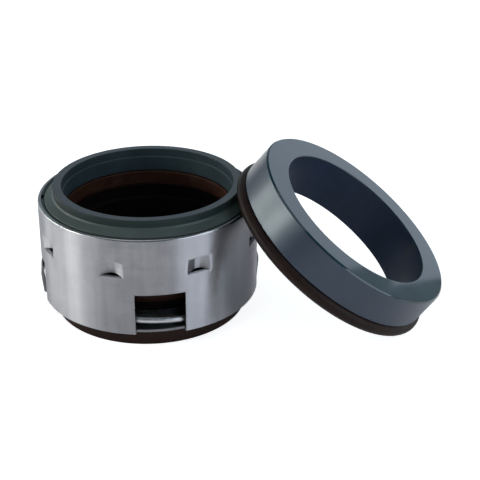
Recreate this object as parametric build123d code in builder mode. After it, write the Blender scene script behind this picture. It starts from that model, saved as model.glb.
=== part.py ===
import os
from math import asin, cos, degrees, radians, sin, sqrt

from build123d import *

# Component mechanical seal for a 50 mm shaft, laid out as it is supplied.
# The rotary unit stands on its rubber foot with the shaft axis along Z and its
# lapped face upwards. The stationary seat is loose: its O-ring stands on the
# ground and leans on the nose of the primary ring. Lengths in mm, +Z up.

os.makedirs("parts", exist_ok=True)

# ---- driving dimensions -------------------------------------------------------

shaft_radius = 25.0  # every other radius is built up from it

# clearances
rubber_gap = 0.2  # rubber to the hard pieces that it meets end to end
loose_gap = 0.3  # radial, between pieces that slide past each other
fixed_gap = 0.05  # between metal pieces assembled by hand
overcut = 1.0  # how far cutting shapes reach past the metal

# rubber bellows, one moulding whose tail grips the shaft
tail_wall = 1.9
grip_length = 9.5  # straight bore of the tail, from the ground up
foot_width = 4.1  # radial, outside the tail
foot_height = 5.95
foot_round = 0.5
bellows_wall = 1.6
bulge_reach = 2.8  # crest of the convolution, outside the tail
neck_clearance = 1.6  # radial, shaft to the neck in the holder's floor
lip_clearance = 1.3  # radial, shaft to the lip behind the primary ring
lip_height = 4.2
undercut = 0.9  # relief below the lip

# spring disc, pressed sheet
disc_thickness = 0.8
collar_height = 3.55  # upstand that clasps the tail, above the disc
lug_count = 2
lug_width = 6.0
lug_rise = 9.65  # from the underside of the disc to the tip
lug_root = 2.4  # radial, how far a lug's sheet runs in under the coil
lug_bow = 0.5  # how far a lug stands proud of the shell
lug_crown = 6.35  # height of the bow's crest above the underside of the disc
lug_tip_bow = 0.4  # bow halfway between the crest and the tip
lug_tip_slant = 0.4  # the tip is cut on a slant, lower inside

# drive shell, drawn sheet
shell_wall = 1.1
shell_height = 32.2
shell_overhang = 0.4  # shell below the underside of the disc
shell_edge_round = 0.3
rim_round = 0.7
rim_lip = 0.3  # shell left above the snap ring's groove
window_count = 4
window_width = 15.6
window_height = 13.7
window_round = 0.5
window_heading = -85.7  # degrees round Z from +X, first window

# lanced tongues that drive the holder
dent_count = 8
dent_heading = -65.1  # degrees round Z from +X, first tongue
dent_foot = 2.05  # free edge of a tongue above the underside of the holder
dent_height = 5.2
dent_width = 6.6
dent_floor = 4.4  # width of the flat floor of the pocket
dent_depth = 2.2  # at the free edge
dent_top_depth = 1.1
dent_top_slope = 0.85  # height of the sloped end at the top
dent_arch = 0.7  # rise of the free edge in its middle
dent_side_wall = 0.7  # sheet left on the drawn sides
dent_roof = 0.275  # sheet left above the sloped end
dent_runout = 0.55  # depth that sets the slope of the sides where the pocket runs out
dent_overshoot = 0.5  # how far the pocket's section is drawn outside the shell

# snap ring
groove_depth = 0.5
snap_height = 0.9
snap_width = 1.15
snap_split = 3.0
snap_heading = 180.0  # where the split stands

# primary ring, silicon carbide
ring_clearance = 1.9  # radial, shaft to the ring's bore
counterbore_step = 0.3  # radial, relief below the lapped face
counterbore_depth = 2.6
nose_wall = 2.9  # width of the lapped face
flange_thickness = 2.35
shoulder_height = 1.1
cone_height = 1.4
nose_height = 2.8
ceramic_chamfer = 0.25

# holder of the primary ring, castellated sheet cup
holder_height = 11.25
holder_wall = 0.9
slot_clearance = 0.4  # each side of a tongue, and below it

# coil spring
wire = 2.6
bulge_gap = 0.5  # radial, wire to the crest of the bellows
coil_gap = 1.1  # radial, wire to shell
end_gap = 0.1  # wire to the disc and to the holder
active_turns = 1.07
closed_turns = 0.78  # flat turn at each end
ease_turns = 0.06  # where a flat turn eases into the rise
coil_tip_heading = -148.0  # degrees round Z, lower end of the wire

# stationary seat, silicon carbide, with its O-ring
seat_clearance = 2.0  # radial, shaft to the seat's bore
neck_wall = 5.41  # behind the body, inside the O-ring
seat_cover = 0.72  # body wider than the middle of the O-ring's cord, at the lapped face
seat_flare = 0.2  # body wider by this at its back edge
seat_body = 10.9  # thickness of the body
seat_neck = 4.73  # length of the neck behind the body
seat_edge = 0.45  # chamfer round the lapped face
o_ring_section = 2.12  # radius of the cord
o_ring_gap = 0.1

# how the seat leans
lean_gap = 0.2  # O-ring to the edge of the nose
lean_contact = 56.7  # degrees above level, from the nose's edge to the cord's centre
rim_gap = 0.3  # end of the seat's neck to the rim of the shell
seat_heading = -14.08  # degrees round Z, towards which the seat leans back
seat_slip = 1.58  # sideways, along the ground

# ---- levels and radii that follow --------------------------------------------

disc_bottom = foot_height + rubber_gap
disc_top = disc_bottom + disc_thickness
shell_bottom = disc_bottom - shell_overhang
rim = shell_bottom + shell_height
tail_radius = shaft_radius + tail_wall
bulge_radius = tail_radius + bulge_reach
coil_radius = bulge_radius + bulge_gap + wire / 2
shell_bore = coil_radius + wire / 2 + coil_gap
shell_radius = shell_bore + shell_wall
groove_top = rim - rim_lip
groove_radius = shell_bore + groove_depth
snap_top = groove_top - fixed_gap
snap_bottom = snap_top - snap_height
groove_bottom = snap_bottom - fixed_gap
snap_outer = groove_radius - fixed_gap
snap_inner = snap_outer - snap_width

flange_bottom = snap_bottom - flange_thickness
shoulder_top = snap_bottom + shoulder_height
cone_top = shoulder_top + cone_height
face_level = cone_top + nose_height
flange_radius = shell_bore - loose_gap
shoulder_radius = snap_inner - loose_gap
ring_bore = shaft_radius + ring_clearance
counterbore = ring_bore + counterbore_step
nose_radius = counterbore + nose_wall

holder_bottom = flange_bottom - holder_height
holder_radius = shell_bore - loose_gap - fixed_gap
holder_bore = holder_radius - holder_wall
holder_floor_top = holder_bottom + holder_wall

tongue_tip = shell_radius - dent_depth - shell_wall
dent_bottom = holder_bottom + dent_foot
dent_top = dent_bottom + dent_height
head_radius = tongue_tip - loose_gap - rubber_gap
head_bottom = holder_floor_top + rubber_gap
head_top = flange_bottom - rubber_gap
neck_bore = shaft_radius + neck_clearance
neck_radius = neck_bore + bellows_wall
holder_hole = neck_radius + 2 * rubber_gap
head_bore = shaft_radius + lip_clearance
collar_bore = tail_radius + loose_gap
collar_top = disc_top + collar_height
tail_top = collar_top + rubber_gap
bulge_level = (tail_top + head_bottom) / 2


# Plane that faces outwards at a heading, its origin at a radius and a height.
def facing_out(heading, radius, height):
    turn = radians(heading)
    outwards = Vector(cos(turn), sin(turn), 0)
    sideways = Vector(-sin(turn), cos(turn), 0)
    return Plane(origin=outwards * radius + Vector(0, 0, height), x_dir=sideways, z_dir=outwards)


# S-shaped run of two equal arcs, upright at both ends, in the (radius, height) plane.
def s_run(start, end):
    middle = ((start[0] + end[0]) / 2, (start[1] + end[1]) / 2)
    upright = (0, 1) if end[1] > start[1] else (0, -1)
    first = TangentArc(start, middle, tangent=upright)
    TangentArc(middle, end, tangent=first % 1)


# ---- drive shell --------------------------------------------------------------

# Cross-section of the pressed-in form at one level: a trapezoid that is narrow
# inside and opens outwards. The slanted sides cross the shell's surface at the
# dent's full width; "inset" moves the whole section in by the sheet's thickness.
shell_at_side = sqrt(shell_radius**2 - (dent_width / 2) ** 2)
dent_outside = shell_radius + dent_overshoot


def dent_section(depth, inset, side_inset, outer):
    floor = shell_radius - depth
    slope = (dent_width - dent_floor) / 2 / max(shell_at_side - floor, dent_runout)
    half_floor = dent_floor / 2 + side_inset - slope * inset
    half_outer = half_floor + slope * (outer - floor + inset)
    Polyline(
        (floor - inset, -half_floor),
        (outer, -half_outer),
        (outer, half_outer),
        (floor - inset, half_floor),
        close=True,
    )


def dent_sections(inset, side_inset, outer, top):
    sections = []
    for depth, level in (
        (dent_depth, dent_bottom),
        (dent_top_depth, dent_top - dent_top_slope),
        (0.0, top),
    ):
        with BuildSketch(Plane.XY.offset(level)) as section:
            with BuildLine():
                dent_section(depth, inset, side_inset, outer)
            make_face()
        sections.append(section.sketch.face())
    return sections


with BuildPart() as tongue:
    sheet_middle = shell_radius - shell_wall / 2
    loft(dent_sections(shell_wall, dent_side_wall, sheet_middle, dent_top + dent_roof), ruled=True)
    # the free edge is arched where the sheet was sheared
    with BuildSketch(facing_out(0, tongue_tip - overcut, dent_bottom)):
        with BuildLine():
            ThreePointArc((-dent_floor / 2, 0), (0, dent_arch), (dent_floor / 2, 0))
            Line((dent_floor / 2, 0), (-dent_floor / 2, 0))
        make_face()
    extrude(amount=dent_depth + shell_wall + overcut, mode=Mode.SUBTRACT)

with BuildPart() as pocket:
    loft(dent_sections(0.0, 0.0, dent_outside, dent_top), ruled=True)

with BuildPart() as drive_shell:
    with BuildSketch(Plane.XZ):
        with BuildLine():
            Polyline(
                (shell_bore, shell_bottom),
                (shell_radius, shell_bottom),
                (shell_radius, rim),
                (shell_bore, rim),
                (shell_bore, groove_top),
                (groove_radius, groove_top),
                (groove_radius, groove_bottom),
                (shell_bore, groove_bottom),
                close=True,
            )
        make_face()
        outer_corners = vertices().group_by(Axis.X)[-1].sort_by(Axis.Y)
        fillet(outer_corners[0], shell_edge_round)
        outer_corners = vertices().group_by(Axis.X)[-1].sort_by(Axis.Y)
        fillet(outer_corners[-1], rim_round)
    revolve(axis=Axis.Z)
    with PolarLocations(0, dent_count, start_angle=dent_heading):
        add(tongue.part)
    with PolarLocations(0, dent_count, start_angle=dent_heading):
        add(pocket.part, mode=Mode.SUBTRACT)
    # windows, open at the bottom edge
    window_inside = sqrt(shell_bore**2 - (window_width / 2) ** 2) - overcut
    for index in range(window_count):
        heading = window_heading + index * 360 / window_count
        with BuildSketch(facing_out(heading, window_inside, shell_bottom)):
            with Locations((0, window_height / 2)):
                Rectangle(window_width, window_height)
            fillet(vertices().group_by(Axis.Y)[-1], window_round)
        extrude(amount=shell_radius + overcut - window_inside, mode=Mode.SUBTRACT)
drive_shell.part.label = "drive_shell"

# ---- snap ring ----------------------------------------------------------------

with BuildPart() as snap_ring:
    with BuildSketch(Plane.XY.offset(snap_bottom)):
        Circle(snap_outer)
        Circle(snap_inner, mode=Mode.SUBTRACT)
        with PolarLocations((snap_outer + snap_inner) / 2, 1, start_angle=snap_heading):
            Rectangle(snap_width + 2 * overcut, snap_split, mode=Mode.SUBTRACT)
    extrude(amount=snap_height)
snap_ring.part.label = "snap_ring"

# ---- primary ring -------------------------------------------------------------

with BuildPart() as primary_ring:
    with BuildSketch(Plane.XZ):
        with BuildLine():
            Polyline(
                (ring_bore, flange_bottom),
                (flange_radius, flange_bottom),
                (flange_radius, snap_bottom),
                (shoulder_radius, snap_bottom),
                (shoulder_radius, shoulder_top),
                (nose_radius, cone_top),
                (nose_radius, face_level),
                (counterbore, face_level),
                (counterbore, face_level - counterbore_depth),
                (ring_bore, face_level - counterbore_depth - counterbore_step),
                close=True,
            )
        make_face()
        flange_corner = vertices().group_by(Axis.X)[-1].sort_by(Axis.Y)[-1]
        chamfer(vertices().group_by(Axis.Y)[-1], ceramic_chamfer)
        chamfer(flange_corner, ceramic_chamfer)
    revolve(axis=Axis.Z)
primary_ring.part.label = "primary_ring"

# ---- holder of the primary ring ----------------------------------------------

# A slot clears the tongue's drawn sides, which are widest at the holder's skin.
tongue_slope = (dent_width - dent_floor) / 2 / (shell_at_side - (shell_radius - dent_depth))
tongue_half = dent_floor / 2 + dent_side_wall + tongue_slope * (holder_radius - shell_radius + dent_depth)
slot_width = 2 * (tongue_half + slot_clearance)
slot_bottom = dent_bottom - slot_clearance

with BuildPart() as drive_ring:
    with BuildSketch(Plane.XZ):
        with BuildLine():
            Polyline(
                (holder_hole, holder_bottom),
                (holder_radius, holder_bottom),
                (holder_radius, flange_bottom),
                (holder_bore, flange_bottom),
                (holder_bore, holder_floor_top),
                (holder_hole, holder_floor_top),
                close=True,
            )
        make_face()
        bend = vertices().group_by(Axis.X)[-1].sort_by(Axis.Y)[0]
        fillet(bend, holder_wall)
    revolve(axis=Axis.Z)
    for index in range(dent_count):
        heading = dent_heading + index * 360 / dent_count
        with BuildSketch(facing_out(heading, holder_bore - overcut, slot_bottom)):
            with Locations((0, (flange_bottom - slot_bottom) / 2)):
                Rectangle(slot_width, flange_bottom - slot_bottom)
        extrude(amount=holder_wall + 2 * overcut, mode=Mode.SUBTRACT)
drive_ring.part.label = "drive_ring"

# ---- rubber bellows -----------------------------------------------------------

foot_radius = tail_radius + foot_width
bulge_bore = bulge_radius - bellows_wall
relief = head_bore + undercut
lip_bottom = head_top - lip_height

with BuildPart() as bellows:
    with BuildSketch(Plane.XZ):
        with BuildLine():
            Polyline(
                (shaft_radius, 0),
                (foot_radius, 0),
                (foot_radius, foot_height),
                (tail_radius, foot_height),
                (tail_radius, tail_top),
            )
            s_run((tail_radius, tail_top), (bulge_radius, bulge_level))
            s_run((bulge_radius, bulge_level), (neck_radius, holder_bottom))
            Polyline(
                (neck_radius, holder_bottom),
                (neck_radius, head_bottom),
                (head_radius, head_bottom),
                (head_radius, head_top),
                (head_bore, head_top),
                (head_bore, lip_bottom),
                (relief, lip_bottom - undercut),
                (relief, holder_floor_top + undercut),
                (neck_bore, holder_floor_top),
            )
            s_run((neck_bore, holder_floor_top), (bulge_bore, bulge_level))
            s_run((bulge_bore, bulge_level), (shaft_radius, grip_length))
            Line((shaft_radius, grip_length), (shaft_radius, 0))
        make_face()
        foot_edge = vertices().group_by(Axis.Y)[0].sort_by(Axis.X)[-1]
        fillet(foot_edge, foot_round)
    revolve(axis=Axis.Z)
bellows.part.label = "bellows"

# ---- spring disc --------------------------------------------------------------

lug_inside = shell_bore - lug_root
lug_skin = shell_radius - disc_thickness
lug_top = disc_bottom + lug_rise
lug_crest = disc_bottom + lug_crown

with BuildPart() as spring_disc:
    with BuildSketch(Plane.XZ):
        with BuildLine():
            Polyline(
                (collar_bore, disc_bottom),
                (shell_bore - fixed_gap, disc_bottom),
                (shell_bore - fixed_gap, disc_top),
                (collar_bore + disc_thickness, disc_top),
                (collar_bore + disc_thickness, collar_top),
                (collar_bore, collar_top),
                close=True,
            )
        make_face()
        bend = vertices().group_by(Axis.X)[0].sort_by(Axis.Y)[0]
        fillet(bend, disc_thickness)
    revolve(axis=Axis.Z)
    # lugs bent up through opposite windows, bowed outwards
    for index in range(lug_count):
        heading = window_heading + 360 / window_count + index * 360 / lug_count
        turn = radians(heading)
        lug_plane = Plane(
            origin=(0, 0, 0), x_dir=(cos(turn), sin(turn), 0), z_dir=(sin(turn), -cos(turn), 0)
        )
        with BuildSketch(lug_plane):
            with BuildLine():
                Line((lug_inside, disc_bottom), (lug_skin, disc_bottom))
                TangentArc((lug_skin, disc_bottom), (shell_radius, disc_top), tangent=(1, 0))
                Line((shell_radius, disc_top), (shell_radius + lug_bow, lug_crest))
                ThreePointArc(
                    (shell_radius + lug_bow, lug_crest),
                    (shell_radius + lug_tip_bow, (lug_crest + lug_top) / 2),
                    (shell_radius, lug_top),
                )
                Polyline(
                    (shell_radius, lug_top),
                    (lug_skin, lug_top - lug_tip_slant),
                    (lug_skin + lug_bow, lug_crest),
                    (lug_skin, disc_top),
                    (lug_inside, disc_top),
                    (lug_inside, disc_bottom),
                )
            make_face()
        extrude(amount=lug_width / 2, both=True)
spring_disc.part.label = "spring_disc"

# ---- coil spring --------------------------------------------------------------

coil_low = disc_top + end_gap + wire / 2
coil_high = holder_bottom - end_gap - wire / 2
coil_pitch = (coil_high - coil_low) / active_turns


# A left-hand coil: it turns clockwise, seen from above, as it rises. Its flat end
# turns run into the rising helix over a short eased stretch.
flat_turns = closed_turns - ease_turns / 2
helix_turns = active_turns - ease_turns
helix_low = coil_low + coil_pitch * ease_turns / 2
rise_heading = coil_tip_heading - 360 * (closed_turns + ease_turns / 2)
top_heading = rise_heading - 360 * (helix_turns + ease_turns)

with BuildPart() as coil_spring:
    with BuildLine() as coil_path:
        low_turn = CenterArc((0, 0, coil_low), coil_radius, coil_tip_heading, -360 * flat_turns)
        helix = Helix(
            coil_pitch,
            coil_pitch * helix_turns,
            coil_radius,
            (0, 0, helix_low),
            lefthand=True,
            mode=Mode.PRIVATE,
        )
        rising = helix.rotate(Axis.Z, rise_heading)
        add(rising)
        high_turn = CenterArc((0, 0, coil_high), coil_radius, top_heading, -360 * flat_turns)
        Spline(low_turn @ 1, rising @ 0, tangents=(low_turn % 1, rising % 0))
        Spline(rising @ 1, high_turn @ 0, tangents=(rising % 1, high_turn % 0))
    with BuildSketch(low_turn ^ 0):
        Circle(wire / 2)
    sweep(path=coil_path.wires()[0])
coil_spring.part.label = "coil_spring"

# ---- stationary seat ----------------------------------------------------------

seat_bore = shaft_radius + seat_clearance
neck_outer = seat_bore + neck_wall
o_ring_radius = neck_outer + o_ring_gap + o_ring_section
seat_radius = o_ring_radius + seat_cover
cord_depth = seat_body + o_ring_gap / 2 + o_ring_section

# The O-ring's low point stands on the ground and its high side rests on the
# edge of the nose, which gives the lean. The end of the neck stays clear of the
# rounded rim of the shell, which sets how near the shaft axis the seat can stand.
cord_reach = o_ring_section + lean_gap
high_cord_level = face_level + cord_reach * sin(radians(lean_contact))
lean = asin((high_cord_level - o_ring_section) / (2 * o_ring_radius))
neck_below_cord = seat_body + seat_neck - cord_depth
over_rim = (high_cord_level - rim + rim_round) * cos(lean)
rim_limit = shell_radius - rim_round + (neck_below_cord + rim_round + rim_gap - over_rim) / sin(lean)
high_cord_radius = max(nose_radius + cord_reach * cos(radians(lean_contact)), rim_limit)
lean_way = radians(seat_heading)
away = Vector(cos(lean_way), sin(lean_way), 0)
sideways = Vector(-sin(lean_way), cos(lean_way), 0)
upwards = Vector(0, 0, 1)
seat_axis = away * sin(lean) + upwards * cos(lean)
down_slope = away * cos(lean) - upwards * sin(lean)
cord_centre = (
    away * (high_cord_radius + o_ring_radius * cos(lean))
    + sideways * seat_slip
    + upwards * (o_ring_section + o_ring_radius * sin(lean))
)
face_centre = cord_centre + seat_axis * cord_depth
# local x runs down the slope, local y along the seat's axis
seat_plane = Plane(origin=face_centre, x_dir=down_slope, z_dir=down_slope.cross(seat_axis))
seat_line = Axis(origin=face_centre, direction=seat_axis)

with BuildPart() as seat_ring:
    with BuildSketch(seat_plane):
        with BuildLine():
            Polyline(
                (seat_bore, 0),
                (seat_radius, 0),
                (seat_radius + seat_flare, -seat_body),
                (neck_outer, -seat_body),
                (neck_outer, -seat_body - seat_neck),
                (seat_bore, -seat_body - seat_neck),
                close=True,
            )
        make_face()
        face_corners = vertices().group_by(Axis.Y)[-1].sort_by(Axis.X)
        chamfer(face_corners[0], ceramic_chamfer)
        face_corners = vertices().group_by(Axis.Y)[-1].sort_by(Axis.X)
        chamfer(face_corners[-1], seat_edge)
        chamfer(vertices().group_by(Axis.Y)[0], ceramic_chamfer)
    revolve(axis=seat_line)
seat_ring.part.label = "seat_ring"

with BuildPart() as seat_o_ring:
    with BuildSketch(seat_plane):
        with Locations((o_ring_radius, -cord_depth)):
            Circle(o_ring_section)
    revolve(axis=seat_line)
seat_o_ring.part.label = "seat_o_ring"

print("lean", round(degrees(lean), 2), "face centre", [round(v, 2) for v in face_centre])
print("coil pitch", round(coil_pitch, 2))

for piece in (
    drive_shell,
    snap_ring,
    primary_ring,
    drive_ring,
    bellows,
    spring_disc,
    coil_spring,
    seat_ring,
    seat_o_ring,
):
    export_step(piece.part, f"parts/{piece.part.label}.step")
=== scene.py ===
import math

import bpy
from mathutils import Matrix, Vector


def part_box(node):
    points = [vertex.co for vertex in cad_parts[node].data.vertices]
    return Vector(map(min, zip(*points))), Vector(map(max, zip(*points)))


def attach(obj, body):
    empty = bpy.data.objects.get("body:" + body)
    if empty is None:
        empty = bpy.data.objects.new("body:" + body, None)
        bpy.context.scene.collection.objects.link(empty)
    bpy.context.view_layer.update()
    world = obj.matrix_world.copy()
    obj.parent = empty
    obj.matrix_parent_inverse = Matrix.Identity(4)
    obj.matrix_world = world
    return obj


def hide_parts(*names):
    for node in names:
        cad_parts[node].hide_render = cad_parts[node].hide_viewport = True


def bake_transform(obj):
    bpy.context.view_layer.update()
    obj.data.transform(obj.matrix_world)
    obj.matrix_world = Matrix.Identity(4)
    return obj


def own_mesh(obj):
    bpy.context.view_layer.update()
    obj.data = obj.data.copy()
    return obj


# Component mechanical seal: a sprung rotary unit standing on its rubber foot, and the
# loose stationary seat leaning on it. Sizes in the dictionaries are in millimetres, and
# headings in degrees.

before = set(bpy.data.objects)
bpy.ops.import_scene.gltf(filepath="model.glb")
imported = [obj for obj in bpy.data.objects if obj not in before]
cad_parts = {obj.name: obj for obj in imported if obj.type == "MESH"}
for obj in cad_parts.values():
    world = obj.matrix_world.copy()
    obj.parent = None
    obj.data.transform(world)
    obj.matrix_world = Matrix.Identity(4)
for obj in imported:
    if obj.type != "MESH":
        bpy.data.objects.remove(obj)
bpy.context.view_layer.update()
mm = 0.001
hair = 0.001  # a distance in millimetres too small to matter
print("frame loaded")


def fromHex(code):
    # sRGB hex to the linear colour that the shaders take
    channels = [int(code[i : i + 2], 16) / 255 for i in (1, 3, 5)]
    return [c / 12.92 if c <= 0.04045 else ((c + 0.055) / 1.055) ** 2.4 for c in channels] + [1]


def addNode(tree, kind, settings=None, links=None):
    # links holds a socket, a node whose first output is meant, or a plain value, for
    # each input by name or number
    node = tree.nodes.new(kind)
    for name, value in (settings or {}).items():
        setattr(node, name, value)
    for key, value in (links or {}).items():
        if isinstance(value, bpy.types.Node):
            value = value.outputs[0]
        if isinstance(value, bpy.types.NodeSocket):
            tree.links.new(value, node.inputs[key])
        else:
            node.inputs[key].default_value = value
    return node


mixShare, mixFrom, mixTo, mixResult = 0, 6, 7, 2  # a Mix node's sockets when it mixes colours


cameraSizes = {"place": (0, -364.7, 199.9), "aim": (28.98, -6.99, 23.25), "lens": 93.3, "sensor": 36}


def makeCamera(s):
    place, aim = Vector(s["place"]), Vector(s["aim"])
    data = bpy.data.cameras.new("studioCamera")
    data.lens = s["lens"]
    data.sensor_width = s["sensor"]
    camera = bpy.data.objects.new("studioCamera", data)
    camera.location = place * mm
    camera.rotation_euler = (aim - place).to_track_quat("-Z", "Y").to_euler()
    bpy.context.scene.collection.objects.link(camera)
    return camera


bpy.context.scene.camera = makeCamera(cameraSizes)
print("camera placed")


def newMaterial(name):
    material = bpy.data.materials.new(name)
    material.use_nodes = True
    tree = material.node_tree
    tree.nodes.clear()
    place = addNode(tree, "ShaderNodeTexCoord").outputs["Object"]
    return material, tree, place


drawnLook = {
    "steel": "#a19fa4", "cloud": "#adabb0", "line": "#97959a", "tint": "#d8d8d8",
    "lineSpacing": 0.3, "lineLength": 22, "lineShare": 0.12, "lineDepth": 0.008,
    "drawSpacing": 2.2, "drawLength": 60, "cloudSize": 9, "fleckSize": 2,
    "roughLow": 0.41, "roughHigh": 0.45, "fleckLow": -0.015, "fleckHigh": 0.03,
}


# Drawn stainless steel sheet, then polished round its axis: fine lines run round the
# shell, so reflections are drawn out into soft upright bands, and faint upright marks
# are left by the drawing die. The real lines are some hundredths of a millimetre
# apart, and are drawn coarser to show.
def drawnStainless(look):
    material, tree, place = newMaterial("drawnStainless")
    across, along = 1 / (look["lineSpacing"] * mm), 1 / (look["lineLength"] * mm)
    linePlace = addNode(tree, "ShaderNodeMapping", None,
                        {"Vector": place, "Scale": (along, along, across)})
    lines = addNode(tree, "ShaderNodeTexNoise", None,
                    {"Vector": linePlace, "Scale": 1, "Detail": 3, "Roughness": 0.6})
    across, along = 1 / (look["drawSpacing"] * mm), 1 / (look["drawLength"] * mm)
    drawPlace = addNode(tree, "ShaderNodeMapping", None,
                        {"Vector": place, "Scale": (across, across, along)})
    drawMarks = addNode(tree, "ShaderNodeTexNoise", None,
                        {"Vector": drawPlace, "Scale": 1, "Detail": 3, "Roughness": 0.55})
    clouds = addNode(tree, "ShaderNodeTexNoise", None,
                     {"Vector": place, "Scale": 1 / (look["cloudSize"] * mm), "Detail": 3, "Roughness": 0.55})
    flecks = addNode(tree, "ShaderNodeTexNoise", None,
                     {"Vector": place, "Scale": 1 / (look["fleckSize"] * mm), "Detail": 2})
    mottle = addNode(tree, "ShaderNodeMath", {"operation": "ADD"}, {0: clouds, 1: drawMarks})
    cloudShare = addNode(tree, "ShaderNodeMapRange", None,
                         {"Value": mottle, "From Min": 0.75, "From Max": 1.25})
    lineShare = addNode(tree, "ShaderNodeMapRange", None,
                        {"Value": lines, "From Min": 0.35, "From Max": 0.7, "To Max": look["lineShare"]})
    ground = addNode(tree, "ShaderNodeMix", {"data_type": "RGBA"},
                     {mixShare: cloudShare, mixFrom: fromHex(look["steel"]), mixTo: fromHex(look["cloud"])})
    colour = addNode(tree, "ShaderNodeMix", {"data_type": "RGBA"},
                     {mixShare: lineShare, mixFrom: ground.outputs[mixResult], mixTo: fromHex(look["line"])})
    lineRough = addNode(tree, "ShaderNodeMapRange", None,
                        {"Value": lines, "From Min": 0.3, "From Max": 0.7,
                         "To Min": look["roughLow"], "To Max": look["roughHigh"]})
    fleckRough = addNode(tree, "ShaderNodeMapRange", None,
                         {"Value": flecks, "From Min": 0.3, "From Max": 0.7,
                          "To Min": look["fleckLow"], "To Max": look["fleckHigh"]})
    rough = addNode(tree, "ShaderNodeMath", {"operation": "ADD"}, {0: lineRough, 1: fleckRough})
    relief = addNode(tree, "ShaderNodeBump", None,
                     {"Height": lines, "Strength": 0.1, "Distance": look["lineDepth"] * mm})
    roundAxis = addNode(tree, "ShaderNodeTangent", {"direction_type": "RADIAL", "axis": "Z"})
    shader = addNode(tree, "ShaderNodeBsdfPrincipled", None,
                     {"Base Color": colour.outputs[mixResult], "Metallic": 1.0, "Roughness": rough,
                      "Specular Tint": fromHex(look["tint"]), "Normal": relief,
                      "Anisotropic": 1.0, "Anisotropic Rotation": 0.25, "Tangent": roundAxis})
    addNode(tree, "ShaderNodeOutputMaterial", None, {"Surface": shader})
    return material


# Strip as it leaves the mill, the shell's rim rolled over and rubbed bright, the coil's
# dull grey wire, and the snap ring's darker wire.
steelLooks = {
    "pressedStainless": {
        "dark": "#66676a", "light": "#7b7c7f", "grainLength": 1.1, "grainWidth": 1.1, "grainDepth": 0.02,
        "roughLow": 0.3, "roughHigh": 0.42,
    },
    "rubbedStainlessRim": {
        "dark": "#949596", "light": "#a2a3a4", "grainLength": 0.8, "grainWidth": 0.8, "grainDepth": 0.02,
        "roughLow": 0.2, "roughHigh": 0.26,
    },
    "drawnSpringWire": {
        "dark": "#a2a2a4", "light": "#bcbcbe", "grainLength": 1.6, "grainWidth": 0.45, "grainDepth": 0.02,
        "roughLow": 0.28, "roughHigh": 0.4,
    },
    "springSteelRing": {
        "dark": "#3e4142", "light": "#525455", "grainLength": 1.6, "grainWidth": 0.45, "grainDepth": 0.02,
        "roughLow": 0.28, "roughHigh": 0.4,
    },
}


# Stainless and spring steel left as it was worked: a fine cloudy skin on pressed strip
# and on the rubbed rim, and faint die lines on wire, which run round with the wire. The
# real grain is finer than a tenth of a millimetre, and is drawn coarser to show.
def workedSteel(name, look):
    material, tree, place = newMaterial(name)
    along, across = 1 / (look["grainLength"] * mm), 1 / (look["grainWidth"] * mm)
    grainPlace = addNode(tree, "ShaderNodeMapping", None,
                         {"Vector": place, "Scale": (along, along, across)})
    grain = addNode(tree, "ShaderNodeTexNoise", None,
                    {"Vector": grainPlace, "Scale": 1, "Detail": 3, "Roughness": 0.6})
    share = addNode(tree, "ShaderNodeMapRange", None, {"Value": grain, "From Min": 0.3, "From Max": 0.7})
    colour = addNode(tree, "ShaderNodeMix", {"data_type": "RGBA"},
                     {mixShare: share, mixFrom: fromHex(look["dark"]), mixTo: fromHex(look["light"])})
    rough = addNode(tree, "ShaderNodeMapRange", None,
                    {"Value": share, "To Min": look["roughLow"], "To Max": look["roughHigh"]})
    relief = addNode(tree, "ShaderNodeBump", None,
                     {"Height": grain, "Strength": 0.1, "Distance": look["grainDepth"] * mm})
    shader = addNode(tree, "ShaderNodeBsdfPrincipled", None,
                     {"Base Color": colour.outputs[mixResult], "Metallic": 1.0, "Roughness": rough,
                      "Normal": relief})
    addNode(tree, "ShaderNodeOutputMaterial", None, {"Surface": shader})
    return material


# The two rings are of one sort, and the seat is a shade bluer. Bores are left as they
# come from the furnace, duller than the ground sides, and the nose's side is painted darker, as painted
# shade.
primaryCarbide = {
    "groundSiliconCarbide": {
        "dark": "#3a4543", "light": "#434f4c", "speck": "#55605e", "speckShare": 0.12, "cloudSize": 8,
        "specular": 0.36, "tint": "#ffffff", "roughLow": 0.4, "roughHigh": 0.46, "grainDepth": 0.002,
    },
    "lappedSiliconCarbide": {
        "dark": "#33383f", "light": "#3b4149", "speck": "#454c55", "speckShare": 0.05, "cloudSize": 8,
        "specular": 0.5, "tint": "#ffffff", "roughLow": 0.1, "roughHigh": 0.14, "grainDepth": 0.0005,
    },
    "furnacedSiliconCarbide": {
        "dark": "#233136", "light": "#2b3b41", "speck": "#36444a", "speckShare": 0.1, "cloudSize": 8,
        "specular": 0.3, "tint": "#ffffff", "roughLow": 0.5, "roughHigh": 0.58, "grainDepth": 0.003,
    },
    # painted shade: the nose's side is made darker than the ground sides
    "noseSidePaintedShadeSiliconCarbide": {
        "dark": "#1e2928", "light": "#263331", "speck": "#313e3c", "speckShare": 0.1, "cloudSize": 8,
        "specular": 0.2, "tint": "#ffffff", "roughLow": 0.45, "roughHigh": 0.52, "grainDepth": 0.003,
    },
}
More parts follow.
